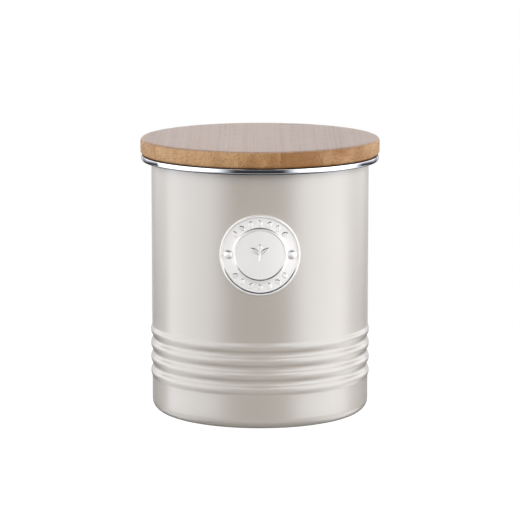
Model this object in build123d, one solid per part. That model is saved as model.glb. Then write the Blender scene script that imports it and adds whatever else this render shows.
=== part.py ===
from build123d import *
import math
import os

# Round kitchen canister: a coated steel tin with four beads, a polished steel rim, a riveted badge
# and a bamboo lid with a seal. Millimetres, +Z up, the origin is the centre of the base, and the
# badge faces -Y.

# Tin
body_radius = 54.6          # outside of the straight wall
body_height = 129.43        # base to the top of the turned-out mouth
wall = 0.6                  # coated steel sheet
corner_radius = 5.4         # outside, wall to base
base_recess = 1.2           # the base panel stands this far above the foot
base_bend = 0.7             # inside of the bends between the panel and the foot
foot_width = 4.0            # flat ring that the tin stands on

# Beads around the lower wall
bead_count = 4
bead_pitch = 7.1
first_bead_height = 19.8    # crest of the lowest bead
bead_rise = 0.65            # crest outside the wall
valley_depth = 0.42         # valley inside the wall
crest_share = 0.6           # how much of each wave the crest takes

# Mouth and rim
rim_overhang = 5.3          # outside of the rim past the wall
rim_height = 2.85
rim_sheet = 0.5
rim_bottom_corner = 1.0     # outside rounding
rim_sleeve_margin = 0.2     # the rim reaches this far below the seal's groove, inside the mouth
rim_lip_gap = 0.7           # turned-in lower lip to the wall
crimp_gap = 0.1             # rim to the sheet that it wraps
mouth_bend = 1.0            # outside bend where the wall turns out
skirt_bend = 0.1            # inside bend where the mouth turns down again

# Badge
badge_radius = 20.0         # measured along the curved plate
badge_drop = 42.13          # mouth down to the badge's centre
badge_sheet = 0.6
badge_gap = 0.05            # plate to the wall
badge_rim_width = 1.8
badge_rim_rise = 0.7
badge_ring_width = 1.2      # inner raised ring, between the band and the flat middle
badge_ring_rise = 0.5
relief_rise = 0.35          # dots and leaves
dot_radius = 1.05
dots_per_arc = 7
dot_arc = 100.0             # degrees that each row of dots covers
leaf_length = 5.0
leaf_width = 2.0
leaf_angles = (40.0, 90.0, 140.0)

# Rivets
rivet_gap = 0.225           # head to the badge's rim and ring, which leave the band that it sits in
rivet_shank_radius = 1.2
rivet_head_radius = 2.2
rivet_head_height = 1.3
rivet_tail_radius = 2.0
rivet_tail_height = 0.8
rivet_edge = 0.25           # upright edge under the dome, and rounding of the tail
rivet_clearance = 0.05

# Lid
lid_thickness = 8.17
lid_overlap = 0.1           # lid past the rim
lid_gap = 0.2               # lid above the rim when closed
lid_top_edge = 1.6
lid_bottom_edge = 1.8
plug_depth = 12.0
plug_clearance = 1.15       # plug inside the mouth
plug_edge = 1.5
groove_below_lid = 1.6      # lid's underside to the groove
groove_height = 5.6
groove_depth = 2.2

# Seal
seal_clearance = 0.3        # to the groove and to the mouth
fin_count = 2
fin_root = 1.0
fin_tip = 0.6
fin_lift = 0.5              # the tips point up

# Worked out from the sizes above
mouth_radius = body_radius - wall - crimp_gap - rim_sheet
rim_radius = body_radius + rim_overhang
rim_top = body_height + crimp_gap + rim_sheet
rim_bottom = rim_top - rim_height
skirt_radius = rim_radius - rim_sheet - crimp_gap
skirt_corner = wall + skirt_bend
rim_top_corner = skirt_corner + crimp_gap + rim_sheet
skirt_bottom = rim_bottom + rim_bottom_corner + crimp_gap
badge_height = body_height - badge_drop
plate_inside = body_radius + badge_gap
plate_outside = plate_inside + badge_sheet
band_width = 2 * (rivet_head_radius + rivet_gap)
band_middle = badge_radius - badge_rim_width - band_width / 2
badge_ring_radius = band_middle - band_width / 2 - badge_ring_width / 2
rivet_angle = math.degrees(band_middle / plate_outside)
rivet_grip = badge_sheet + badge_gap + wall + rivet_clearance
lid_bottom = rim_top + lid_gap
plug_radius = mouth_radius - plug_clearance
groove_top = lid_bottom - groove_below_lid
groove_bottom = groove_top - groove_height


def at(radius, height):
    return Vector(radius, 0, height)


def polar(centre, radius, angle):
    turn = math.radians(angle)
    return centre + at(radius * math.cos(turn), radius * math.sin(turn))


def arc(centre, radius, start, end):
    middle = (start + end) / 2
    return ThreePointArc(
        polar(centre, radius, start), polar(centre, radius, middle), polar(centre, radius, end)
    )


def joined(arcs, first, last):
    """The arcs in order with straight runs between them, from the first point to the last."""
    edges = []
    here = first
    for piece in arcs:
        if (piece @ 0 - here).length > 1e-6:
            edges.append(Line(here, piece @ 0))
        edges.append(piece)
        here = piece @ 1
    edges.append(Line(here, last))
    return edges


def spun(edges):
    return revolve(Face(Wire(edges)), Axis.Z, 360)


def base_arcs(inset):
    """Panel down to the foot, then the foot round to the wall."""
    both = 2 * base_bend + wall
    lean = math.degrees(math.acos(1 - base_recess / both))
    foot_inside = body_radius - corner_radius - foot_width
    upper = at(foot_inside - both * math.sin(math.radians(lean)), base_recess - base_bend)
    lower = at(foot_inside, base_bend + wall)
    corner = at(body_radius - corner_radius, corner_radius)
    return [
        arc(upper, base_bend + inset, 90, 90 - lean),
        arc(lower, base_bend + wall - inset, 270 - lean, 270),
        arc(corner, corner_radius - inset, -90, 0),
    ]


def bead_arcs(inset):
    """Crests and valleys that meet on a common tangent, running out into the straight wall."""
    swing = bead_rise + valley_depth
    both = (swing**2 + (bead_pitch / 2) ** 2) / (2 * swing)
    crest = both * crest_share
    valley = both - crest
    flank = math.degrees(math.asin(bead_pitch / 2 / both))
    end_flank = math.degrees(math.acos(1 - bead_rise / both))
    run_out = both * math.sin(math.radians(end_flank))
    top = first_bead_height + (bead_count - 1) * bead_pitch
    low_end = at(body_radius + valley, first_bead_height - run_out)
    high_end = at(body_radius + valley, top + run_out)
    arcs = [arc(low_end, valley + inset, 180, 180 - end_flank)]
    for i in range(bead_count):
        height = first_bead_height + i * bead_pitch
        below = end_flank if i == 0 else flank
        above = end_flank if i == bead_count - 1 else flank
        arcs.append(arc(at(body_radius + bead_rise - crest, height), crest - inset, -below, above))
        if i < bead_count - 1:
            middle = at(body_radius - valley_depth + valley, height + bead_pitch / 2)
            arcs.append(arc(middle, valley + inset, 180 + flank, 180 - flank))
    arcs.append(arc(high_end, valley + inset, 180 + end_flank, 180))
    return arcs


def mouth_arcs(inset):
    """The wall turns out, then down into a skirt that stiffens the edge."""
    turn = at(body_radius + mouth_bend, body_height - wall - mouth_bend)
    corner = at(skirt_radius - skirt_corner, body_height - skirt_corner)
    return [
        arc(turn, mouth_bend + inset, 180, 90),
        arc(corner, skirt_bend + inset, 90, 0),
    ]


def tin_skin(inset):
    arcs = base_arcs(inset) + bead_arcs(inset) + mouth_arcs(inset)
    end = at(skirt_radius - wall + inset, skirt_bottom)
    return joined(arcs, at(0, base_recess + inset), end)


def tin_body():
    outside = tin_skin(0)
    inside = tin_skin(wall)
    lip = Line(outside[-1] @ 1, inside[-1] @ 1)
    axis = Line(inside[0] @ 0, outside[0] @ 0)
    shell = spun(outside + inside + [lip, axis])
    for side in (-1, 1):
        shell -= rivet_plane(side) * Cylinder(rivet_shank_radius + rivet_clearance, 8 * wall)
    return shell


def rim_skin(inset):
    """inset 0 is the polished outside, rim_sheet the side that wraps the mouth."""
    bend = mouth_bend + wall + crimp_gap + rim_sheet
    turn = at(mouth_radius + bend, rim_top - bend)
    top = at(rim_radius - rim_top_corner, rim_top - rim_top_corner)
    bottom = at(rim_radius - rim_bottom_corner, rim_bottom + rim_bottom_corner)
    arcs = [
        arc(turn, bend - inset, 180, 90),
        arc(top, rim_top_corner - inset, 90, 0),
        arc(bottom, rim_bottom_corner - inset, 0, -90),
    ]
    first = at(mouth_radius + inset, groove_bottom - rim_sleeve_margin)
    return joined(arcs, first, at(body_radius + rim_lip_gap, rim_bottom + inset))


def rim_ring():
    outside = rim_skin(0)
    inside = rim_skin(rim_sheet)
    sleeve_end = Line(inside[0] @ 0, outside[0] @ 0)
    lip_end = Line(outside[-1] @ 1, inside[-1] @ 1)
    return spun(outside + inside + [sleeve_end, lip_end])


def badge_layer(rise):
    """A sheet that follows the wall, from the plate's back or face out to the rise."""
    start = plate_inside if rise == 0 else plate_outside
    end = plate_outside + rise
    span = 2.2 * badge_radius
    return Pos(0, 0, badge_height) * (Cylinder(end, span) - Cylinder(start, 2 * span))


def badge_prism(half_width, half_height, along=0.0, up=0.0, turn=0.0):
    """Cuts a bent disc or leaf: sizes along the plate are foreshortened as it curves away."""
    shrink = math.sin(half_width / plate_outside) * plate_outside / half_width
    sketch = Ellipse(half_width * shrink, half_height)
    across = math.sin(along / plate_outside) * plate_outside
    place = Plane(origin=(across, 0, badge_height + up), x_dir=(1, 0, 0), z_dir=(0, -1, 0))
    return extrude(place * Rot(0, 0, turn) * sketch, plate_outside * 1.5)


def badge_band(middle, width):
    outer = middle + width / 2
    inner = middle - width / 2
    return badge_prism(outer, outer) - badge_prism(inner, inner)


def badge_dots():
    dots = []
    for centre in (90, 270):
        for i in range(dots_per_arc):
            angle = math.radians(centre + dot_arc * (i / (dots_per_arc - 1) - 0.5))
            along = band_middle * math.cos(angle)
            up = band_middle * math.sin(angle)
            dots.append(badge_prism(dot_radius, dot_radius, along, up))
    return dots


def badge_leaves():
    leaves = []
    for angle in leaf_angles:
        along = math.cos(math.radians(angle)) * leaf_length * 0.6
        up = math.sin(math.radians(angle)) * leaf_length * 0.6
        leaves.append(badge_prism(leaf_length / 2, leaf_width / 2, along, up, angle))
    return leaves


def badge_plate():
    plate = badge_layer(0) & badge_prism(badge_radius, badge_radius)
    rim_band = badge_band(badge_radius - badge_rim_width / 2, badge_rim_width)
    plate += badge_layer(badge_rim_rise) & rim_band
    plate += badge_layer(badge_ring_rise) & badge_band(badge_ring_radius, badge_ring_width)
    relief = badge_layer(relief_rise)
    for cutter in badge_dots() + badge_leaves():
        plate += relief & cutter
    for side in (-1, 1):
        plate -= rivet_plane(side) * Cylinder(rivet_shank_radius + rivet_clearance, 8 * badge_sheet)
    return plate


def rivet_plane(side):
    """Origin on the badge's face, Z straight out of the wall."""
    angle = math.radians(side * rivet_angle)
    out = Vector(math.sin(angle), -math.cos(angle), 0)
    origin = out * plate_outside + Vector(0, 0, badge_height)
    return Plane(origin=origin, x_dir=(0, 0, 1), z_dir=out)


def rivet():
    crown = at(0, rivet_head_height)
    edge = at(rivet_head_radius, rivet_edge)
    rise = rivet_head_height - rivet_edge
    dome = (rivet_head_radius**2 + rise**2) / (2 * rise)
    lean = math.degrees(math.asin(rivet_head_radius / dome))
    head = arc(at(0, rivet_head_height - dome), dome, 90 - lean, 90)
    tail_top = -rivet_grip
    tail_end = tail_top - rivet_tail_height
    tail_round = arc(
        at(rivet_tail_radius - rivet_edge, tail_end + rivet_edge), rivet_edge, -90, 0
    )
    edges = [
        Line(crown, at(0, tail_end)),
        Line(at(0, tail_end), tail_round @ 0),
        tail_round,
        Line(tail_round @ 1, at(rivet_tail_radius, tail_top)),
        Line(at(rivet_tail_radius, tail_top), at(rivet_shank_radius, tail_top)),
        Line(at(rivet_shank_radius, tail_top), at(rivet_shank_radius, 0)),
        Line(at(rivet_shank_radius, 0), at(rivet_head_radius, 0)),
        Line(at(rivet_head_radius, 0), edge),
        head,
    ]
    return spun(edges)


def badge_rivets():
    return Compound(children=[rivet_plane(side) * rivet() for side in (-1, 1)])


def disc(radius, bottom, top):
    return Pos(0, 0, (bottom + top) / 2) * Cylinder(radius, top - bottom)


def lid_board():
    board = disc(rim_radius + lid_overlap, lid_bottom, lid_bottom + lid_thickness)
    rings = board.edges().filter_by(GeomType.CIRCLE).sort_by(Axis.Z)
    board = fillet(rings[-1], lid_top_edge)
    rings = board.edges().filter_by(GeomType.CIRCLE).sort_by(Axis.Z)
    return fillet(rings[0], lid_bottom_edge)


def lid_plug():
    plug = disc(plug_radius, lid_bottom - plug_depth, lid_bottom)
    rings = plug.edges().filter_by(GeomType.CIRCLE).sort_by(Axis.Z)
    plug = fillet(rings[0], plug_edge)
    groove = disc(plug_radius + plug_clearance, groove_bottom, groove_top)
    groove -= disc(plug_radius - groove_depth, groove_bottom, groove_top)
    return plug - groove


def lid_seal():
    """A band in the plug's groove with thin fins that wipe the mouth."""
    inside = plug_radius - groove_depth + seal_clearance
    outside = plug_radius
    bottom = groove_bottom + seal_clearance
    top = groove_top - seal_clearance
    reach = mouth_radius - seal_clearance
    step = (top - bottom) / fin_count
    points = [at(inside, bottom), at(outside, bottom)]
    for i in range(fin_count):
        root = bottom + (i + 0.5) * step - fin_root / 2 - fin_lift / 2
        middle = root + fin_root / 2 + fin_lift
        points.append(at(outside, root))
        points.append(at(reach, middle - fin_tip / 2))
        points.append(at(reach, middle + fin_tip / 2))
        points.append(at(outside, root + fin_root))
    points += [at(outside, top), at(inside, top)]
    return spun(Polyline(*points, close=True).edges())


pieces = {
    "tin_body": tin_body(),
    "rim_ring": rim_ring(),
    "badge_plate": badge_plate(),
    "badge_rivets": badge_rivets(),
    "lid_board": lid_board(),
    "lid_plug": lid_plug(),
    "lid_seal": lid_seal(),
}

os.makedirs("parts", exist_ok=True)
for name, piece in pieces.items():
    piece.label = name
    export_step(piece, f"parts/{name}.step")
    size = piece.bounding_box().size
    print(name, len(piece.solids()), "solids", [round(v, 2) for v in (size.X, size.Y, size.Z)])
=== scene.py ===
import math

import bmesh
import bpy
import numpy as np
from mathutils import Matrix, Vector


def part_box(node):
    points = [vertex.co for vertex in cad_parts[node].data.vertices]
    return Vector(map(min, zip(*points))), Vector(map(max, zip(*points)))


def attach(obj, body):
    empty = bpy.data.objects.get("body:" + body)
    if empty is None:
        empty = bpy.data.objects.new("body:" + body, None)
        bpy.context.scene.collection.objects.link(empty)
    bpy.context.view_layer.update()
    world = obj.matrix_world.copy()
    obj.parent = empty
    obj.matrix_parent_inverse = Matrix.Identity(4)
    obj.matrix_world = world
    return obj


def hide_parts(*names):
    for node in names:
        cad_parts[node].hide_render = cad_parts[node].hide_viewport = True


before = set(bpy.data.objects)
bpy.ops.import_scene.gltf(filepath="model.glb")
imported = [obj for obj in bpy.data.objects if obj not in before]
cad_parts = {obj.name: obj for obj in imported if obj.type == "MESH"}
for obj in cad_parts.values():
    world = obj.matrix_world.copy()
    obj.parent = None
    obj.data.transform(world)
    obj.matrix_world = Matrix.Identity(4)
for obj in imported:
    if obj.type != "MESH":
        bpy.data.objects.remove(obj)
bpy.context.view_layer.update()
mm = 0.001
crispAngle = 32    # degrees between faces that keep a crisp edge


# small tools for meshes

def meshPiece(name, points, faces, sharpAngle=crispAngle):
    mesh = bpy.data.meshes.new(name)
    mesh.from_pydata([tuple(p) for p in points], [], faces)
    work = bmesh.new()
    work.from_mesh(mesh)
    bmesh.ops.remove_doubles(work, verts=work.verts, dist=1e-8)
    bmesh.ops.recalc_face_normals(work, faces=work.faces)
    work.to_mesh(mesh)
    work.free()
    mesh.shade_smooth()
    mesh.set_sharp_from_angle(angle=math.radians(sharpAngle))
    piece = bpy.data.objects.new(name, mesh)
    bpy.context.scene.collection.objects.link(piece)
    return piece


def arcPoints(centre, radius, start, end, count=8):
    angles = np.radians(np.linspace(start, end, count + 1))
    return [(centre[0] + radius * math.cos(a), centre[1] + radius * math.sin(a)) for a in angles]


def withRuns(outline, longest):
    # adds points along straight runs, so that no face is much longer than it has to be
    filled = []
    for here, there in zip(outline, outline[1:] + outline[:1]):
        gap = math.dist(here, there)
        pieces = max(1, math.ceil(gap / longest))
        for i in range(pieces):
            t = i / pieces
            filled.append((here[0] + (there[0] - here[0]) * t, here[1] + (there[1] - here[1]) * t))
    return filled


def lathe(name, outline, turns=288, place=None):
    # outline is a closed loop of (radius, height) in mm, spun about Z
    kept = [spot for i, spot in enumerate(outline) if math.dist(spot, outline[i - 1]) > 1e-5]
    loop = [(r * mm, z * mm) for r, z in kept]
    points, rows = [], []
    for radius, height in loop:
        if radius < 1e-7:
            points.append(Vector((0, 0, height)))
            rows.append([len(points) - 1] * turns)
            continue
        rows.append(list(range(len(points), len(points) + turns)))
        for k in range(turns):
            turn = 2 * math.pi * k / turns
            points.append(Vector((radius * math.cos(turn), radius * math.sin(turn), height)))
    faces = []
    for i, row in enumerate(rows):
        below = rows[i - 1]
        for k in range(turns):
            following = (k + 1) % turns
            corners = list(dict.fromkeys([below[k], below[following], row[following], row[k]]))
            if len(corners) > 2:
                faces.append(corners)
    if place is not None:
        points = [place @ p for p in points]
    return meshPiece(name, points, faces)


def settle(piece, body, node, material):
    piece.data.materials.append(material)
    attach(piece, body)
    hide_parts(node)
    print("made", piece.name, len(piece.data.polygons), "faces")
    return piece


# small tools for nodes

def put(tree, kind, sockets=None, **settings):
    node = tree.nodes.new(kind)
    for key, value in settings.items():
        setattr(node, key, value)
    for key, value in (sockets or {}).items():
        if isinstance(value, bpy.types.NodeSocket):
            tree.links.new(value, node.inputs[key])
        else:
            node.inputs[key].default_value = value
    return node


def calc(tree, operation, a, b=0.0, c=0.0):
    return put(tree, "ShaderNodeMath", {0: a, 1: b, 2: c}, operation=operation).outputs[0]


def ramp(tree, value, low, high, toLow=0.0, toHigh=1.0):
    sockets = {"Value": value, "From Min": low, "From Max": high, "To Min": toLow, "To Max": toHigh}
    return put(tree, "ShaderNodeMapRange", sockets, interpolation_type="SMOOTHSTEP").outputs["Result"]


def blendColour(tree, factor, a, b):
    node = put(tree, "ShaderNodeMix", data_type="RGBA")
    for key, value in {"Factor": factor, "A": a, "B": b}.items():
        socket = next(s for s in node.inputs if s.name == key and s.enabled)
        if isinstance(value, bpy.types.NodeSocket):
            tree.links.new(value, socket)
        else:
            socket.default_value = value
    return next(s for s in node.outputs if s.enabled)


def scaled(tree, vector, factors):
    return put(tree, "ShaderNodeVectorMath", {0: vector, 1: factors}, operation="MULTIPLY").outputs[0]


def upward(tree, normal):
    return put(tree, "ShaderNodeSeparateXYZ", {0: normal}).outputs["Z"]


def noise(tree, vector, scale, detail=2.0, roughness=0.5):
    sockets = {"Vector": vector, "Scale": scale, "Detail": detail, "Roughness": roughness}
    return put(tree, "ShaderNodeTexNoise", sockets).outputs["Fac"]


def newGroup(name, inputs, outputs):
    tree = bpy.data.node_groups.new(name, "ShaderNodeTree")
    for title, kind, value in inputs:
        socket = tree.interface.new_socket(title, in_out="INPUT", socket_type="NodeSocket" + kind)
        if value is not None:
            socket.default_value = value
    for title, kind in outputs:
        tree.interface.new_socket(title, in_out="OUTPUT", socket_type="NodeSocket" + kind)
    return tree, tree.nodes.new("NodeGroupInput"), tree.nodes.new("NodeGroupOutput")


def placeGroup(tree, group, sockets):
    node = tree.nodes.new("ShaderNodeGroup")
    node.node_tree = group
    for key, value in sockets.items():
        if isinstance(value, bpy.types.NodeSocket):
            tree.links.new(value, node.inputs[key])
        else:
            node.inputs[key].default_value = value
    return node.outputs


def newMaterial(name, constants):
    material = bpy.data.materials.new(name)
    material.use_nodes = True
    tree = material.node_tree
    shader = tree.nodes["Principled BSDF"]
    for key, value in constants.items():
        shader.inputs[key].default_value = value
    coords = tree.nodes.new("ShaderNodeTexCoord").outputs["Object"]
    return material, tree, shader, coords


def bumpInto(tree, shader, height, distance):
    bump = put(tree, "ShaderNodeBump", {"Height": height, "Distance": distance, "Strength": 1.0})
    tree.links.new(bump.outputs["Normal"], shader.inputs["Normal"])


# camera

cameraSet = {
    "distance": 1.4537,     # from the tin's axis
    "height": 0.322,
    "pitch": 9.616,         # degrees down
    "lens": 201.97,
    "sensor": 36,
    "clip": (0.05, 50),
}


def makeCamera():
    camera = bpy.data.cameras.new("camera")
    camera.sensor_width = cameraSet["sensor"]
    camera.lens = cameraSet["lens"]
    camera.clip_start, camera.clip_end = cameraSet["clip"]
    holder = bpy.data.objects.new("camera", camera)
    holder.location = (0, -cameraSet["distance"], cameraSet["height"])
    holder.rotation_euler = (math.radians(90 - cameraSet["pitch"]), 0, 0)
    bpy.context.scene.collection.objects.link(holder)
    bpy.context.scene.camera = holder


makeCamera()
print("camera set")


# floor and light

studio = {
    "floorRadius": 0.25,
    "floorTop": -0.02,        # mm, just under the foot
    "floorBottom": -2.0,      # mm
    "floorFace": 60.0,        # mm, longest face
    "floorTurns": 96,
    "floorColour": (0.85, 0.85, 0.85, 1),
    "floorDusk": 0.985,       # how much darker its patches are
    "floorRoughness": 0.7,
    "floorShows": 0.06,       # how much of the real floor the camera sees through the white
    "white": 1.1,
    "background": 1.0,
    "lightColour": (0.965, 1.0, 1.06, 1),
    "dim": 0.04,              # light from every other direction
}
# Soft lights, each on the right and on the left. Degrees round from the camera and degrees up are
# given as where the light starts, is full, holds and is gone.
lights = {
    "box": {"right": (20, 52, 90, 120), "left": (22, 58, 112, 119), "up": (-20, -15, 36, 44),
            "strength": (2.5, 2.1)},
    "top": {"right": (12, 22, 24, 50), "left": (12, 22, 24, 48), "up": (12, 20, 36, 44),
            "strength": (2.4, 2.2)},
    "fill": {"right": (0, 0, 14, 26), "left": (0, 0, 14, 26), "up": (-2, 6, 20, 36),
             "strength": (0.9, 0.9)},
    "behind": {"right": (96, 118, 140, 158), "left": (112, 119, 140, 158), "up": (-11, -6, 12, 20),
               "strength": (1.6, 1.6)},
    "back": {"right": (150, 160, 190, 191), "left": (150, 160, 190, 191), "up": (-16, -8, 0, 5),
             "strength": (0.6, 0.6)},
    "backTop": {"right": (150, 160, 190, 191), "left": (150, 160, 190, 191), "up": (0, 5, 24, 32),
                "strength": (1.95, 1.95)},
    "low": {"right": (60, 85, 130, 150), "left": (60, 85, 130, 150), "up": (-54, -46, -26, -16),
            "strength": (1.4, 1.0)},
    "table": {"right": (0, 0, 60, 85), "left": (0, 0, 60, 85), "up": (-50, -42, -28, -20),
              "strength": (0.55, 0.55)},
}


def makeFloor():
    edge, top, bottom = studio["floorRadius"] / mm, studio["floorTop"], studio["floorBottom"]
    outline = withRuns([(edge, top), (0, top), (0, bottom), (edge, bottom)], studio["floorFace"])
    floor = lathe("floor", outline, studio["floorTurns"])
    material, tree, shader, coords = newMaterial("paleTable", {"Roughness": studio["floorRoughness"]})
    pale = studio["floorColour"]
    dusk = tuple(part * studio["floorDusk"] for part in pale[:3]) + (1,)
    colour = blendColour(tree, ramp(tree, noise(tree, coords, 3.0), 0.3, 0.7), pale, dusk)
    tree.links.new(colour, shader.inputs["Base Color"])
    white = put(tree, "ShaderNodeEmission", {"Color": (1, 1, 1, 1), "Strength": studio["white"]})
    clear = put(tree, "ShaderNodeBsdfTransparent", {"Color": (1, 1, 1, 1)})
    path = tree.nodes.new("ShaderNodeLightPath")
    seen = put(tree, "ShaderNodeMixShader", {0: 1.0 - studio["floorShows"]})
    tree.links.new(shader.outputs[0], seen.inputs[1])
    tree.links.new(white.outputs[0], seen.inputs[2])
    mix = put(tree, "ShaderNodeMixShader", {0: path.outputs["Is Camera Ray"]})
    tree.links.new(clear.outputs[0], mix.inputs[1])
    tree.links.new(seen.outputs[0], mix.inputs[2])
    tree.links.new(mix.outputs[0], tree.nodes["Material Output"].inputs["Surface"])
    floor.data.materials.append(material)


def band(tree, value, steps):
    starts, full, holds, gone = steps
    if full == starts:
        starts = full - 0.5    # a light that is full at once still needs a narrow edge
    rise = ramp(tree, value, starts, full)
    return calc(tree, "MULTIPLY", rise, ramp(tree, value, holds, gone, 1.0, 0.0))


def makeWorld():
    world = bpy.data.worlds.new("studio")
    bpy.context.scene.world = world
    world.use_nodes = True
    tree = world.node_tree
    tree.nodes.clear()
    ray = tree.nodes.new("ShaderNodeTexCoord").outputs["Generated"]
    parts = put(tree, "ShaderNodeSeparateXYZ", {0: ray}).outputs
    toFront = calc(tree, "MULTIPLY", parts["Y"], -1.0)
    azimuth = calc(tree, "DEGREES", calc(tree, "ARCTAN2", parts["X"], toFront))
    height = calc(tree, "DEGREES", calc(tree, "ARCSINE", parts["Z"]))
    total = studio["dim"]
    for light in lights.values():
        for side, way, strength in zip((1, -1), ("right", "left"), light["strength"]):
            turned = calc(tree, "MULTIPLY", azimuth, side)
            glow = calc(tree, "MULTIPLY", band(tree, turned, light[way]), band(tree, height, light["up"]))
            total = calc(tree, "MULTIPLY_ADD", glow, strength, total)
    lit = put(tree, "ShaderNodeBackground", {"Color": studio["lightColour"], "Strength": total})
    seen = put(tree, "ShaderNodeBackground", {"Color": (1, 1, 1, 1), "Strength": studio["background"]})
    path = tree.nodes.new("ShaderNodeLightPath")
    pick = put(tree, "ShaderNodeMixShader", {0: path.outputs["Is Camera Ray"]})
    tree.links.new(lit.outputs[0], pick.inputs[1])
    tree.links.new(seen.outputs[0], pick.inputs[2])
    ending = tree.nodes.new("ShaderNodeOutputWorld")
    tree.links.new(pick.outputs[0], ending.inputs["Surface"])


makeFloor()
makeWorld()
bpy.context.scene.view_settings.view_transform = "Standard"
print("floor and light set")


# shared surface effects

def metalGrainGroup():
    # fine lines and faint marks of handling, for the rim, the badge and the rivets
    inputs = [("Vector", "Vector", None), ("Scale", "Float", 900.0), ("Line Stretch", "Float", 1.0),
              ("Smudge Scale", "Float", 45.0), ("Roughness", "Float", 0.1), ("Spread", "Float", 0.05)]
    outputs = [("Roughness", "Float"), ("Height", "Float")]
    tree, given, result = newGroup("metalGrain", inputs, outputs)
    parts = put(tree, "ShaderNodeSeparateXYZ", {0: given.outputs["Vector"]}).outputs
    across = calc(tree, "SQRT", calc(tree, "ADD", calc(tree, "MULTIPLY", parts["X"], parts["X"]),
                                     calc(tree, "MULTIPLY", parts["Y"], parts["Y"])))
    turned = calc(tree, "MULTIPLY", calc(tree, "ARCTAN2", parts["Y"], parts["X"]), 0.01)
    turned = calc(tree, "MULTIPLY", turned, given.outputs["Line Stretch"])
    lined = put(tree, "ShaderNodeCombineXYZ", {0: across, 1: turned, 2: parts["Z"]}).outputs[0]
    lines = noise(tree, lined, given.outputs["Scale"], 3.0, 0.65)
    smudge = noise(tree, given.outputs["Vector"], given.outputs["Smudge Scale"], 4.0, 0.6)
    change = calc(tree, "ADD", calc(tree, "SUBTRACT", lines, 0.5), calc(tree, "SUBTRACT", smudge, 0.5))
    rough = calc(tree, "MULTIPLY_ADD", change, given.outputs["Spread"], given.outputs["Roughness"])
    tree.links.new(calc(tree, "MAXIMUM", rough, 0.02), result.inputs["Roughness"])
    tree.links.new(lines, result.inputs["Height"])
    return tree


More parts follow.
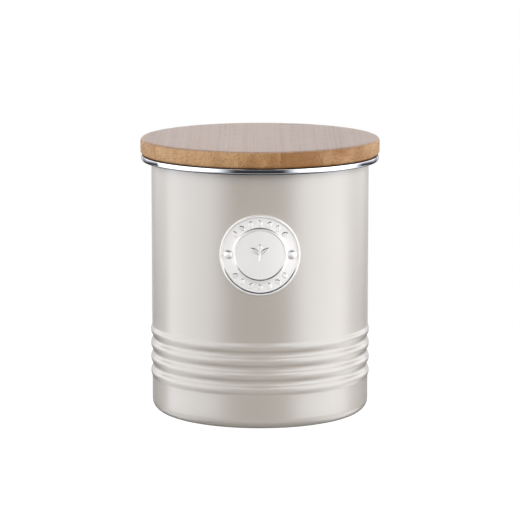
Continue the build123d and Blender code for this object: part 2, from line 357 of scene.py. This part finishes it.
def bambooGroup():
    # boards glued up from strips, with the fibres along Y, in metres
    inputs = [("Vector", "Vector", None), ("Strip Width", "Float", 0.0205), ("Shift", "Float", 0.0),
              ("Pale", "Color", (0.61, 0.355, 0.165, 1)), ("Amber", "Color", (0.35, 0.16, 0.055, 1)),
              ("Dark", "Color", (0.15, 0.06, 0.02, 1)), ("Fibre Density", "Float", 900.0),
              ("Lean", "Float", 1.5), ("Top Face From", "Float", 0.1375), ("Top Face Full", "Float", 0.1383),
              ("Top Sheen Colour", "Color", (0.58, 0.39, 0.31, 1)), ("Node Spacing", "Float", 0.21),
              ("Seed", "Float", 25.25)]
    outputs = [("Color", "Color"), ("Roughness", "Float"), ("Height", "Float")]
    tree, given, result = newGroup("bamboo", inputs, outputs)
    parts = put(tree, "ShaderNodeSeparateXYZ", {0: given.outputs["Vector"]}).outputs
    shifted = calc(tree, "ADD", parts["X"], given.outputs["Shift"])
    counted = calc(tree, "DIVIDE", shifted, given.outputs["Strip Width"])
    strip = calc(tree, "FLOOR", counted)
    inside = calc(tree, "FRACT", counted)
    draw = {"W": calc(tree, "ADD", strip, given.outputs["Seed"])}
    luck = put(tree, "ShaderNodeTexWhiteNoise", draw, noise_dimensions="1D")
    chance = put(tree, "ShaderNodeSeparateColor", {0: luck.outputs["Color"]}).outputs
    along = calc(tree, "ADD", parts["Y"], calc(tree, "MULTIPLY", chance[0], 0.9))
    deep = calc(tree, "ADD", parts["Z"], calc(tree, "MULTIPLY", chance[1], 0.3))
    # a node, where the culm had a ring: a short band across the strip that bends the fibres
    spacing = given.outputs["Node Spacing"]
    phase = calc(tree, "FRACT", calc(tree, "DIVIDE", along, spacing))
    ringGap = calc(tree, "MULTIPLY", calc(tree, "ABSOLUTE", calc(tree, "SUBTRACT", phase, 0.5)), spacing)
    ring = ramp(tree, ringGap, 0.0006, 0.0028, 1.0, 0.0)
    swell = ramp(tree, ringGap, 0.002, 0.012, 1.0, 0.0)
    waves = calc(tree, "SUBTRACT", noise(tree, given.outputs["Vector"], 260.0), 0.5)
    sway = calc(tree, "MULTIPLY", calc(tree, "MULTIPLY", waves, swell), 0.0022)
    bends = calc(tree, "SUBTRACT", noise(tree, given.outputs["Vector"], 18.0), 0.5)
    drift = calc(tree, "MULTIPLY", bends, 0.0016)
    across = calc(tree, "ADD", parts["X"], calc(tree, "ADD", sway, drift))
    lengthwise = {0: across, 1: calc(tree, "MULTIPLY", along, 0.012), 2: deep}
    fibre = put(tree, "ShaderNodeCombineXYZ", lengthwise).outputs[0]
    crosswise = {0: across, 1: calc(tree, "MULTIPLY_ADD", drift, 0.6, deep)}
    cut = put(tree, "ShaderNodeCombineXYZ", crosswise).outputs[0]
    # fibre bundles show as dots where the strips are cut across, and most in the middle strip
    sockets = {"Vector": cut, "Scale": given.outputs["Fibre Density"]}
    bundles = put(tree, "ShaderNodeTexVoronoi", sockets, voronoi_dimensions="2D")
    dots = ramp(tree, bundles.outputs["Distance"], 0.12, 0.5, 1.0, 0.0)
    kept = put(tree, "ShaderNodeSeparateColor", {0: bundles.outputs["Color"]}).outputs[0]
    crowd = calc(tree, "MINIMUM", calc(tree, "ABSOLUTE", strip), 1.0)
    fewest = ramp(tree, crowd, 0.0, 1.0, 0.0, 0.35)
    dots = calc(tree, "MULTIPLY", dots, ramp(tree, kept, fewest, 0.9, 0.1, 1.0))
    topFace = ramp(tree, parts["Z"], given.outputs["Top Face From"], given.outputs["Top Face Full"])
    dots = calc(tree, "MULTIPLY", dots, calc(tree, "MULTIPLY_ADD", topFace, -0.8, 1.0))
    streaks = noise(tree, fibre, 700.0, 4.0, 0.6)
    broad = noise(tree, fibre, 120.0, 3.0, 0.55)
    contrast = calc(tree, "MULTIPLY_ADD", topFace, -0.3, 0.4)    # between strips, less on the top face
    ownTone = calc(tree, "MULTIPLY", chance[2], contrast)
    tone = calc(tree, "ADD", calc(tree, "MULTIPLY", broad, 0.75), ownTone)
    tone = calc(tree, "MULTIPLY_ADD", parts["X"], given.outputs["Lean"], tone)
    colour = blendColour(tree, ramp(tree, tone, 0.3, 0.85), given.outputs["Pale"], given.outputs["Amber"])
    colour = blendColour(tree, ramp(tree, streaks, 0.5, 0.8, 0.0, 0.45), colour, given.outputs["Amber"])
    # painted sheen: the top face is mixed toward a pale greyish pink, standing in for the grazing reflection
    # of the bright backdrop
    colour = blendColour(tree, calc(tree, "MULTIPLY", topFace, 0.6), colour, given.outputs["Top Sheen Colour"])
    flecks = scaled(tree, given.outputs["Vector"], (1, 5, 1))
    fleck = ramp(tree, noise(tree, flecks, 220.0, 3.0, 0.6), 0.5, 0.75, 0.0, 0.3)
    colour = blendColour(tree, calc(tree, "MULTIPLY", fleck, topFace), colour, given.outputs["Dark"])
    colour = blendColour(tree, calc(tree, "MULTIPLY", dots, 0.45), colour, given.outputs["Dark"])
    colour = blendColour(tree, calc(tree, "MULTIPLY", ring, 0.4), colour, given.outputs["Dark"])
    toEdge = calc(tree, "MINIMUM", inside, calc(tree, "SUBTRACT", 1.0, inside))
    seam = ramp(tree, toEdge, 0.0, 0.008, 1.0, 0.0)
    seam = calc(tree, "MULTIPLY", seam, calc(tree, "MULTIPLY_ADD", topFace, -0.7, 1.0))
    colour = blendColour(tree, calc(tree, "MULTIPLY", seam, 0.35), colour, given.outputs["Dark"])
    tree.links.new(colour, result.inputs["Color"])
    rough = calc(tree, "ADD", 0.36, calc(tree, "MULTIPLY", streaks, 0.1))
    tree.links.new(calc(tree, "ADD", rough, calc(tree, "MULTIPLY", dots, 0.1)), result.inputs["Roughness"])
    grooves = calc(tree, "ADD", calc(tree, "MULTIPLY", dots, -0.6), calc(tree, "MULTIPLY", streaks, 0.5))
    level = calc(tree, "SUBTRACT", grooves, calc(tree, "MULTIPLY", seam, 0.8))
    tree.links.new(level, result.inputs["Height"])
    return tree


def stampedGroup():
    # matt ground, burnished slopes and painted dark reflection on the surfaces that face up
    inputs = [("Vector", "Vector", None), ("Normal", "Vector", None),
              ("Metal", "Color", (0.93, 0.93, 0.94, 1)), ("Painted Dark", "Color", (0.1, 0.1, 0.11, 1)),
              ("Ground Roughness", "Float", 0.7), ("Slope Roughness", "Float", 0.65),
              ("Painted Dark Start", "Float", 0.2), ("Painted Dark Full", "Float", 0.4),
              ("Centre", "Vector", None), ("Unshaded From", "Float", 1.0)]
    tree, given, result = newGroup("stampedMetal", inputs, [("Color", "Color"), ("Roughness", "Float")])
    level = scaled(tree, given.outputs["Vector"], (1, 1, 0))
    away = put(tree, "ShaderNodeVectorMath", {0: level}, operation="NORMALIZE").outputs[0]
    sockets = {0: away, 1: given.outputs["Normal"]}
    facing = put(tree, "ShaderNodeVectorMath", sockets, operation="DOT_PRODUCT").outputs["Value"]
    slope = ramp(tree, facing, 0.86, 0.985, 1.0, 0.0)
    up = upward(tree, given.outputs["Normal"])
    # painted dark reflection: where the normal faces up the colour turns dark, within a set distance of the
    # centre
    ledge = ramp(tree, up, given.outputs["Painted Dark Start"], given.outputs["Painted Dark Full"])
    sockets = {0: given.outputs["Vector"], 1: given.outputs["Centre"]}
    gap = put(tree, "ShaderNodeVectorMath", sockets, operation="DISTANCE").outputs["Value"]
    ledge = calc(tree, "MULTIPLY", ledge, calc(tree, "LESS_THAN", gap, given.outputs["Unshaded From"]))
    cloud = noise(tree, given.outputs["Vector"], 300.0, 3.0)
    ledge = calc(tree, "MULTIPLY", ledge, ramp(tree, cloud, 0.2, 0.6, 0.75, 1.0))
    colour = blendColour(tree, ledge, given.outputs["Metal"], given.outputs["Painted Dark"])
    sockets = {"Factor": slope, "A": given.outputs["Ground Roughness"], "B": given.outputs["Slope Roughness"]}
    rough = put(tree, "ShaderNodeMix", sockets, data_type="FLOAT").outputs[0]
    tree.links.new(colour, result.inputs["Color"])
    tree.links.new(calc(tree, "MULTIPLY_ADD", cloud, 0.08, rough), result.inputs["Roughness"])
    return tree


metalGrain = metalGrainGroup()
stamped = stampedGroup()
bamboo = bambooGroup()
print("shared effects built")


# tin

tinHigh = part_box("tin_body")[1]
tin = {
    "wallRadius": 54.6,      # mm, outside of the straight wall
    "height": tinHigh.z / mm,
    "sheet": 0.6,
    "cornerRadius": 5.4,
    "panelRise": 1.2,        # base panel above the foot
    "panelBend": 0.7,
    "footWidth": 4.0,
    "beads": 4,
    "beadPitch": 7.1,
    "firstBead": 19.8,
    "beadRise": 0.65,
    "valleyDepth": 0.42,
    "crestShare": 0.6,
    "mouthBend": 1.0,
    "skirtRadius": tinHigh.x / mm,
    "skirtBend": 0.1,
    "skirtDrop": 1.15,       # mouth to the skirt's edge
    "faceLength": 6.0,       # longest face
    "colour": (0.56, 0.495, 0.42, 1),
    "deepColour": (0.545, 0.48, 0.405, 1),
    "coat": {"Coat Weight": 1.0, "Coat Roughness": 0.27, "Coat IOR": 1.9, "IOR": 1.5},
    "roughness": 0.27,
    "cloudScale": 30.0,
    "peelScale": 900.0,      # fine waves of the sprayed coat
    "peelDepth": 0.000012,
    "speckScale": 5200.0,
}


def beadPoints(inset):
    # crests and valleys that meet on a common tangent, running out into the straight wall
    swing = tin["beadRise"] + tin["valleyDepth"]
    half = tin["beadPitch"] / 2
    both = (swing ** 2 + half ** 2) / (2 * swing)
    crest = both * tin["crestShare"]
    valley = both - crest
    flank = math.degrees(math.asin(half / both))
    endFlank = math.degrees(math.acos(1 - tin["beadRise"] / both))
    runOut = both * math.sin(math.radians(endFlank))
    wall = tin["wallRadius"]
    valleyCentre = wall - tin["valleyDepth"] + valley
    last = tin["beads"] - 1
    points = arcPoints((wall + valley, tin["firstBead"] - runOut), valley + inset, 180, 180 - endFlank)
    for i in range(tin["beads"]):
        height = tin["firstBead"] + i * tin["beadPitch"]
        below = endFlank if i == 0 else flank
        above = endFlank if i == last else flank
        points += arcPoints((wall + tin["beadRise"] - crest, height), crest - inset, -below, above, 14)
        if i < last:
            points += arcPoints((valleyCentre, height + half), valley + inset, 180 + flank, 180 - flank, 10)
    height = tin["firstBead"] + last * tin["beadPitch"]
    return points + arcPoints((wall + valley, height + runOut), valley + inset, 180 + endFlank, 180)


def tinSkin(inset):
    wall, sheet, bend = tin["wallRadius"], tin["sheet"], tin["panelBend"]
    both = 2 * bend + sheet
    lean = math.degrees(math.acos(1 - tin["panelRise"] / both))
    foot = wall - tin["cornerRadius"] - tin["footWidth"]
    panel = foot - both * math.sin(math.radians(lean))
    corner = tin["cornerRadius"]
    points = [(0, tin["panelRise"] + inset)]
    points += arcPoints((panel, tin["panelRise"] - bend), bend + inset, 90, 90 - lean, 6)
    points += arcPoints((foot, bend + sheet), bend + sheet - inset, 270 - lean, 270, 6)
    points += arcPoints((wall - corner, corner), corner - inset, -90, 0, 14)
    points += beadPoints(inset)
    mouth = tin["mouthBend"]
    points += arcPoints((wall + mouth, tin["height"] - sheet - mouth), mouth + inset, 180, 90)
    skirtCorner = sheet + tin["skirtBend"]
    turn = (tin["skirtRadius"] - skirtCorner, tin["height"] - skirtCorner)
    points += arcPoints(turn, tin["skirtBend"] + inset, 90, 0, 5)
    return points + [(tin["skirtRadius"] - sheet + inset, tin["height"] - tin["skirtDrop"])]


def coatedSteel():
    material, tree, shader, coords = newMaterial("puttyCoat", tin["coat"])
    cloud = noise(tree, coords, tin["cloudScale"], 3.0)
    colour = blendColour(tree, ramp(tree, cloud, 0.3, 0.7), tin["colour"], tin["deepColour"])
    tree.links.new(colour, shader.inputs["Base Color"])
    peel = noise(tree, coords, tin["peelScale"])
    speck = noise(tree, coords, tin["speckScale"], 1.0)
    rough = calc(tree, "MULTIPLY_ADD", cloud, 0.06, tin["roughness"])
    tree.links.new(calc(tree, "MULTIPLY_ADD", speck, 0.04, rough), shader.inputs["Roughness"])
    bumpInto(tree, shader, peel, tin["peelDepth"])
    return material


def makeTin():
    outline = withRuns(tinSkin(0) + tinSkin(tin["sheet"])[::-1], tin["faceLength"])
    return settle(lathe("tinShell", outline), "tin", "tin_body", coatedSteel())


makeTin()


# rim

rimLow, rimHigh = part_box("rim_ring")
rim = {
    "radius": rimHigh.x / mm,
    "top": rimHigh.z / mm,
    "sleeveEnd": rimLow.z / mm,
    "height": 2.85,
    "sheet": 0.5,
    "mouthRadius": 53.4,
    "mouthCorner": 2.2,
    "topCorner": 0.3,
    "bottomCorner": 1.0,
    "lean": 3.0,             # degrees that the outer face looks down
    "lipRadius": 55.3,
    "faceLength": 2.0,
    "turns": 360,
    "steel": {"Metallic": 1.0, "IOR": 2.5},
    "colour": (0.88, 0.88, 0.9, 1),
    "edgeShadeColour": (0.06, 0.06, 0.07, 1),    # painted shade and dark reflection along both outer edges
    "edgeFrom": 58.2,        # the upper one starts at this radius
    "edgeFade": 0.7,
    "grain": {"Scale": 1500.0, "Smudge Scale": 60.0, "Roughness": 0.07, "Spread": 0.05},
    "grainDepth": 0.000001,
}


def rimSkin(inset):
    top, low = rim["top"], rim["top"] - rim["height"]
    upper, lower, bend, lean = rim["topCorner"], rim["bottomCorner"], rim["mouthCorner"], rim["lean"]
    face = rim["radius"] - math.tan(math.radians(lean)) * (rim["height"] - upper - lower)
    points = [(rim["mouthRadius"] + inset, rim["sleeveEnd"])]
    points += arcPoints((rim["mouthRadius"] + bend, top - bend), bend - inset, 180, 90)
    small = max(upper - inset, 0.05)    # the inner skin keeps a corner too
    points += arcPoints((rim["radius"] - inset - small, top - inset - small), small, 90, -lean, 10)
    points += arcPoints((face - lower, low + lower), lower - inset, -lean, -90, 10)
    return points + [(rim["lipRadius"], low + inset)]


def polishedSteel():
    material, tree, shader, coords = newMaterial("mirrorSteel", rim["steel"])
    normal = tree.nodes.new("ShaderNodeTexCoord").outputs["Normal"]
    up = upward(tree, normal)
    level = scaled(tree, coords, (1, 1, 0))
    radius = put(tree, "ShaderNodeVectorMath", {0: level}, operation="LENGTH").outputs["Value"]
    starts, full = rim["edgeFrom"] * mm, (rim["edgeFrom"] + rim["edgeFade"]) * mm
    # painted shade and dark reflection: the outer top that faces up and the lower edge that faces down are
    # darkened in the colour
    upper = calc(tree, "MULTIPLY", ramp(tree, up, 0.3, 0.6), ramp(tree, radius, starts, full, 0.0, 0.8))
    lower = ramp(tree, calc(tree, "MULTIPLY", up, -1.0), 0.3, 0.55)
    patches = ramp(tree, noise(tree, coords, 90.0, 3.0), 0.2, 0.6, 0.8, 1.0)
    edge = calc(tree, "MULTIPLY", calc(tree, "ADD", upper, lower), patches)
    tree.links.new(blendColour(tree, edge, rim["colour"], rim["edgeShadeColour"]), shader.inputs["Base Color"])
    marks = placeGroup(tree, metalGrain, {"Vector": coords, **rim["grain"]})
    tree.links.new(marks["Roughness"], shader.inputs["Roughness"])
    bumpInto(tree, shader, marks["Height"], rim["grainDepth"])
    return material


def makeRim():
    outline = withRuns(rimSkin(0) + rimSkin(rim["sheet"])[::-1], rim["faceLength"])
    ring = lathe("rimRing", outline, rim["turns"])
    return settle(ring, "tin", "rim_ring", polishedSteel())


makeRim()


# badge and rivets

badgeLow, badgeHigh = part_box("badge_plate")
badge = {
    "radius": (badgeHigh.z - badgeLow.z) / 2 / mm,
    "height": (badgeHigh.z + badgeLow.z) / 2 / mm,
    "back": 54.65,            # radius that the plate's back follows
    "sheet": 0.6,
    "edgeStep": (18.35, 19.0),    # the rolled edge climbs between these radii
    "edgeRise": 0.62,
    "edgeRound": 0.6,
    "ringStep": (11.9, 12.6),
    "ringFall": (12.4, 14.2),
    "ringRise": 0.46,
    "bandDip": 0.08,
    "seedRise": 0.34,
    "seedFlank": 0.5,
    "seedCircle": 15.775,
    "seeds": 7,
    "arc": 100.0,             # degrees that each row of seeds covers
    "seed": (1.5, 0.95),      # half length and half width
    "seedLean": 24.0,         # degrees, to one side and the other by turns
    "leafAngles": (40.0, 90.0, 140.0),
    "leaf": (2.5, 1.0),
    "leafOut": 3.0,
    "ribReach": 0.7,          # how much of a seed or leaf its groove runs along
    "stem": ((0.0, 0.6), (-0.5, -2.6)),
    "stemHalf": 0.24,
    "rings": 150,
    "turns": 640,
    "crispAngle": 60,
    "unshadedFrom": 19.0,        # no painted dark reflection past this radius
    "metal": {"Metallic": 1.0, "IOR": 2.5},
    "colour": (1.0, 0.965, 0.92, 1),
    "grain": {"Scale": 3500.0, "Smudge Scale": 150.0, "Line Stretch": 90.0, "Spread": 0.1},
    "grainDepth": 0.000004,
}
rivet = {
    "headRadius": 2.2,
    "headHeight": 1.3,
    "edge": 0.25,
    "shankRadius": 1.2,
    "tailRadius": 2.0,
    "tailHeight": 0.8,
    "offset": 15.775,         # from the badge's centre, along the plate
    "grip": 1.3,
    "turns": 72,
    # the rivet heads' tops get the same painted dark reflection, lighter than on the badge
    "finish": {"Ground Roughness": 0.65, "Slope Roughness": 0.6, "Painted Dark Start": 0.35,
               "Painted Dark Full": 0.7, "Painted Dark": (0.3, 0.3, 0.32, 1)},
}


def smoothBetween(value, start, end):
    t = np.clip((value - start) / (end - start), 0, 1)
    return t * t * (3 - 2 * t)


def leafShape(u, v, centre, turn, halfLength, halfWidth):
    # distance inside a pointed leaf, as the overlap of two circles, with a groove along its middle
    c, s = math.cos(turn), math.sin(turn)
    x = (u - centre[0]) * c + (v - centre[1]) * s
    y = -(u - centre[0]) * s + (v - centre[1]) * c
    bow = (halfLength ** 2 - halfWidth ** 2) / (2 * halfWidth)
    size = bow + halfWidth
    inside = np.minimum(size - np.hypot(x, y - bow), size - np.hypot(x, y + bow))
    groove = (np.abs(y) - 0.09) * 1.5 + 0.12
    return np.minimum(inside, np.where(np.abs(x) < halfLength * badge["ribReach"], groove, inside))


def lineShape(u, v, start, end, half):
    a, b = np.array(start), np.array(end)
    span = b - a
    t = np.clip(((u - a[0]) * span[0] + (v - a[1]) * span[1]) / (span @ span), 0, 1)
    return half - np.hypot(u - a[0] - t * span[0], v - a[1] - t * span[1])


def motifDepth(u, v):
    inside = np.full_like(u, -9.0)
    for middle in (90, 270):
        for i in range(badge["seeds"]):
            angle = math.radians(middle + badge["arc"] * (i / (badge["seeds"] - 1) - 0.5))
            spot = (badge["seedCircle"] * math.cos(angle), badge["seedCircle"] * math.sin(angle))
            lean = angle + math.radians(badge["seedLean"] if i % 2 else -badge["seedLean"])
            inside = np.maximum(inside, leafShape(u, v, spot, lean, *badge["seed"]))
    for turn in badge["leafAngles"]:
        angle = math.radians(turn)
        spot = (badge["leafOut"] * math.cos(angle), badge["leafOut"] * math.sin(angle))
        inside = np.maximum(inside, leafShape(u, v, spot, angle, *badge["leaf"]))
    return np.maximum(inside, lineShape(u, v, *badge["stem"], badge["stemHalf"]))


def badgeHeights(u, v):
    r = np.hypot(u, v)
    starts, ends, flank = badge["ringFall"][1], badge["edgeStep"][0], badge["seedFlank"] / 2
    level = badge["sheet"] - badge["bandDip"] * np.sin(np.pi * np.clip((r - starts) / (ends - starts), 0, 1))
    ring = smoothBetween(r, *badge["ringStep"]) * (1 - smoothBetween(r, *badge["ringFall"]))
    level += badge["ringRise"] * ring
    level += badge["edgeRise"] * smoothBetween(r, *badge["edgeStep"])
    level += badge["seedRise"] * smoothBetween(motifDepth(u, v), -flank, flank)
    outer = np.clip((badge["radius"] - r) / badge["edgeRound"], 0, 1)
    return level * np.sqrt(1 - (1 - outer) ** 2)


def bentPoint(u, v, level):
    # wraps the flat disc round the tin; sizes along the plate are kept
    turn = u / badge["back"]
    out = badge["back"] + level
    return np.stack([out * np.sin(turn), -out * np.cos(turn), badge["height"] + v], axis=-1) * mm


def stampedMetal(name, sockets):
    material, tree, shader, coords = newMaterial(name, badge["metal"])
    normal = tree.nodes.new("ShaderNodeTexCoord").outputs["Normal"]
    given = {"Vector": coords, "Normal": normal, "Metal": badge["colour"], **sockets}
    made = placeGroup(tree, stamped, given)
    tree.links.new(made["Color"], shader.inputs["Base Color"])
    given = {"Vector": coords, "Roughness": made["Roughness"], **badge["grain"]}
    marks = placeGroup(tree, metalGrain, given)
    tree.links.new(marks["Roughness"], shader.inputs["Roughness"])
    bumpInto(tree, shader, marks["Height"], badge["grainDepth"])
    return material


def makeBadge():
    steps = np.linspace(0, 1, badge["rings"] + 1)[1:]
    radii = badge["radius"] * steps
    turns = badge["turns"]
    angles = 2 * np.pi * np.arange(turns) / turns
    r, a = np.meshgrid(radii, angles, indexing="ij")
    u, v = r * np.cos(a), r * np.sin(a)
    front = bentPoint(u, v, badgeHeights(u, v)).reshape(-1, 3)
    middle = np.zeros((1, 1))
    points = [bentPoint(middle, middle, badgeHeights(middle, middle)).reshape(3), *front]
    rows = [[1 + i * turns + k for k in range(turns)] for i in range(len(radii))]
    backCentre = len(points)
    points.append(bentPoint(0.0, 0.0, 0.0))
    faces = []
    for k in range(turns):
        following = (k + 1) % turns
        faces.append([0, rows[0][k], rows[0][following]])
        faces.append([backCentre, rows[-1][following], rows[-1][k]])
        for i in range(len(rows) - 1):
            faces.append([rows[i][k], rows[i + 1][k], rows[i + 1][following], rows[i][following]])
    centre = (0, -badge["back"] * mm, badge["height"] * mm)
    metal = stampedMetal("satinBadge", {"Centre": centre, "Unshaded From": badge["unshadedFrom"] * mm})
    plate = meshPiece("badgePlate", points, faces, badge["crispAngle"])
    return settle(plate, "tin", "badge_plate", metal)


def rivetPlace(side):
    out = badge["back"] + badge["sheet"]
    turn = side * rivet["offset"] / out
    away = Vector((math.sin(turn), -math.cos(turn), 0))
    across = Vector((0, 0, 1)).cross(away)
    place = Matrix((across, Vector((0, 0, 1)), away)).transposed().to_4x4()
    place.translation = (away * out + Vector((0, 0, badge["height"]))) * mm
    return place


def makeRivets():
    rise = rivet["headHeight"] - rivet["edge"]
    dome = (rivet["headRadius"] ** 2 + rise ** 2) / (2 * rise)
    lean = math.degrees(math.asin(rivet["headRadius"] / dome))
    tail, shank, grip = rivet["tailRadius"], rivet["shankRadius"], rivet["grip"]
    outline = [(0, rivet["headHeight"])]
    outline += arcPoints((0, rivet["headHeight"] - dome), dome, 90, 90 - lean, 14)[1:]
    outline += [(rivet["headRadius"], 0.0), (shank, 0.0), (shank, -grip), (tail, -grip)]
    edge, end = rivet["edge"], -grip - rivet["tailHeight"]
    outline += arcPoints((tail - edge, end + edge), edge, 0, -90, 5)
    outline.append((0, end))
    heads = [lathe("badgeRivets", outline, rivet["turns"], rivetPlace(side)) for side in (-1, 1)]
    joined = bmesh.new()
    for head in heads:
        joined.from_mesh(head.data)
    joined.to_mesh(heads[0].data)
    joined.free()
    heads[0].data.shade_smooth()
    heads[0].data.set_sharp_from_angle(angle=math.radians(crispAngle))
    bpy.data.objects.remove(heads[1])
    steel = stampedMetal("rivetSteel", rivet["finish"])
    return settle(heads[0], "tin", "badge_rivets", steel)


makeBadge()
makeRivets()


# lid

boardLow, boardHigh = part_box("lid_board")
plugLow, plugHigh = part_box("lid_plug")
sealLow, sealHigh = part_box("lid_seal")
lid = {
    "radius": boardHigh.x / mm,
    "bottom": boardLow.z / mm,
    "top": boardHigh.z / mm,
    "topEdge": 1.6,
    "bottomEdge": 1.8,
    "plugRadius": plugHigh.x / mm,
    "plugBottom": plugLow.z / mm,
    "plugEdge": 1.5,
    "grooveBelow": 1.6,
    "grooveHeight": 5.6,
    "grooveDepth": 2.2,
    "faceLength": 5.0,
    "oil": {"IOR": 1.3},
    "boardTurn": 0.0,         # degrees that the strips are turned
    "boardShift": 0.0104,     # metres that the seams are moved
    "plugTurn": 90.0,
    "plugShift": 0.003,
    "grainDepth": 0.00003,
}
seal = {
    "radius": sealHigh.x / mm,
    "bottom": sealLow.z / mm,
    "top": sealHigh.z / mm,
    "gap": 0.3,
    "fins": 2,
    "finRoot": 1.0,
    "finTip": 0.6,
    "finLift": 0.5,
    "rubber": {"Subsurface Weight": 0.35, "Subsurface Scale": 0.002, "IOR": 1.41},
    "colour": (0.86, 0.86, 0.84, 1),
    "duskColour": (0.8, 0.8, 0.77, 1),
    "roughness": 0.42,
    "skinDepth": 0.000008,
}


def bambooWood(name, turn, shift):
    material, tree, shader, coords = newMaterial(name, lid["oil"])
    sockets = {"Vector": coords, "Angle": math.radians(turn)}
    turned = put(tree, "ShaderNodeVectorRotate", sockets, rotation_type="Z_AXIS")
    grain = placeGroup(tree, bamboo, {"Vector": turned.outputs[0], "Shift": shift})
    tree.links.new(grain["Color"], shader.inputs["Base Color"])
    tree.links.new(grain["Roughness"], shader.inputs["Roughness"])
    bumpInto(tree, shader, grain["Height"], lid["grainDepth"])
    return material


def makeBoard():
    radius, top, bottom = lid["radius"], lid["top"], lid["bottom"]
    upper, lower = lid["topEdge"], lid["bottomEdge"]
    outline = [(0, bottom)]
    outline += arcPoints((radius - lower, bottom + lower), lower, -90, 0, 8)
    outline += arcPoints((radius - upper, top - upper), upper, 0, 90, 8)
    outline.append((0, top))
    board = lathe("lidBoard", withRuns(outline, lid["faceLength"]))
    wood = bambooWood("lidBamboo", lid["boardTurn"], lid["boardShift"])
    return settle(board, "lid", "lid_board", wood)


def makePlug():
    radius, top, bottom, edge = lid["plugRadius"], lid["bottom"], lid["plugBottom"], lid["plugEdge"]
    grooveTop = top - lid["grooveBelow"]
    grooveBottom = grooveTop - lid["grooveHeight"]
    floor = radius - lid["grooveDepth"]
    outline = [(0, bottom)]
    outline += arcPoints((radius - edge, bottom + edge), edge, -90, 0, 8)
    outline += [(radius, grooveBottom), (floor, grooveBottom), (floor, grooveTop), (radius, grooveTop)]
    outline += [(radius, top), (0, top)]
    plug = lathe("lidPlug", withRuns(outline, lid["faceLength"]))
    wood = bambooWood("plugBamboo", lid["plugTurn"], lid["plugShift"])
    return settle(plug, "lid", "lid_plug", wood)


def siliconeRubber():
    material, tree, shader, coords = newMaterial("sealSilicone", seal["rubber"])
    cloud = noise(tree, coords, 60.0, 3.0)
    tree.links.new(blendColour(tree, cloud, seal["colour"], seal["duskColour"]), shader.inputs["Base Color"])
    tree.links.new(calc(tree, "MULTIPLY_ADD", cloud, 0.12, seal["roughness"]), shader.inputs["Roughness"])
    bumpInto(tree, shader, noise(tree, coords, 1800.0), seal["skinDepth"])
    return material


def makeSeal():
    inner = lid["plugRadius"] - lid["grooveDepth"] + seal["gap"]
    outer = lid["plugRadius"]
    bottom, top, reach = seal["bottom"], seal["top"], seal["radius"]
    step = (top - bottom) / seal["fins"]
    tip = seal["finTip"] / 2
    outline = [(inner, bottom), (outer, bottom)]
    for i in range(seal["fins"]):
        root = bottom + (i + 0.5) * step - seal["finRoot"] / 2 - seal["finLift"] / 2
        middle = root + seal["finRoot"] / 2 + seal["finLift"]
        outline.append((outer, root))
        outline += arcPoints((reach - tip, middle), tip, -80, 80, 8)
        outline.append((outer, root + seal["finRoot"]))
    outline += [(outer, top), (inner, top)]
    return settle(lathe("sealRing", outline), "seal", "lid_seal", siliconeRubber())


makeBoard()
makePlug()
makeSeal()
